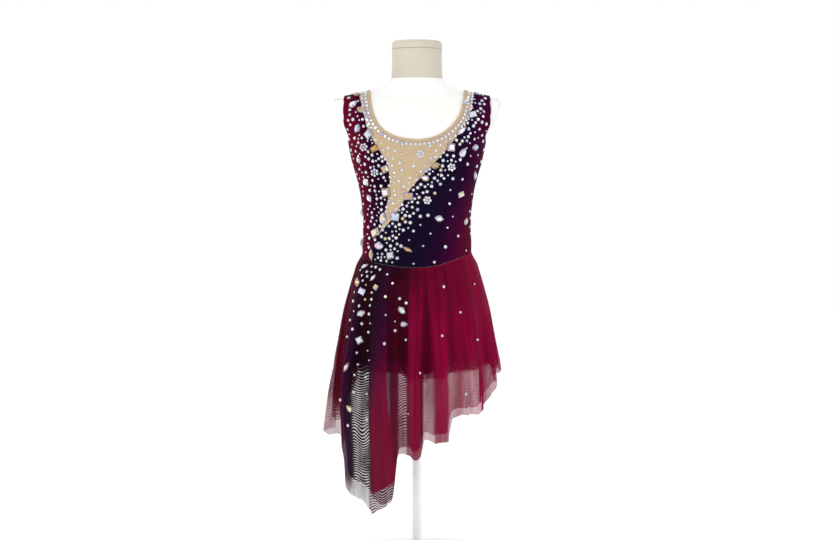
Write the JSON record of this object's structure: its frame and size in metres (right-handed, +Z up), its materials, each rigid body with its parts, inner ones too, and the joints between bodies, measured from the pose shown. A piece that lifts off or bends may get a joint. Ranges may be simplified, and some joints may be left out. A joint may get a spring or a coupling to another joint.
{
  "type": "figure skating dress on a limbless dress form",
  "caption": "Sleeveless girl's figure skating dress with a nude inset and a slanting layered mesh skirt, worn by a limbless dress form on a round stand.",
  "frame": {"origin": "on the floor, at the centre of the underside of the stand's round base", "axes": "+Z up along the pole; -Y is the front of the dress; +X is the wearer's left side"},
  "size_m": [0.3398, 0.3, 0.968],
  "materials": {
    "bodice_wine": "stretch velvet with a short nap, wine at the outside running to plum and navy towards the inset",
    "bodice_navy": "stretch velvet with a short nap, navy running to purple and magenta at the wearer's left side",
    "nude_mesh": "nude stretch mesh, matt",
    "briefs_cloth": "dark wine stretch cloth, matt",
    "skirt_mesh": "sheer soft mesh, magenta running to plum and navy, see-through where one layer hangs alone",
    "form_white": "matt white",
    "neck_cream": "matt cream",
    "stand_white": "white powder coat",
    "rhinestone": "faceted clear and iridescent glass stones"
  },
  "bodies": {
    "root": {"form_torso": "form_white", "form_neck": "neck_cream", "form_neck_cap": "neck_cream", "form_arm_plate_right": "form_white", "form_arm_plate_left": "form_white", "stand_base": "stand_white", "stand_pole": "stand_white", "stand_collar": "stand_white", "bodice_front_right": "bodice_wine", "bodice_front_left": "bodice_navy", "bodice_inset": "nude_mesh", "bodice_back": "bodice_wine", "neck_binding": "nude_mesh", "briefs_front": "briefs_cloth", "briefs_back": "briefs_cloth", "skirt_outer_front": "skirt_mesh", "skirt_outer_back": "skirt_mesh", "skirt_under_front": "skirt_mesh", "skirt_under_back": "skirt_mesh", "skirt_short_front": "skirt_mesh", "skirt_short_back": "skirt_mesh"}
  },
  "joints": []
}
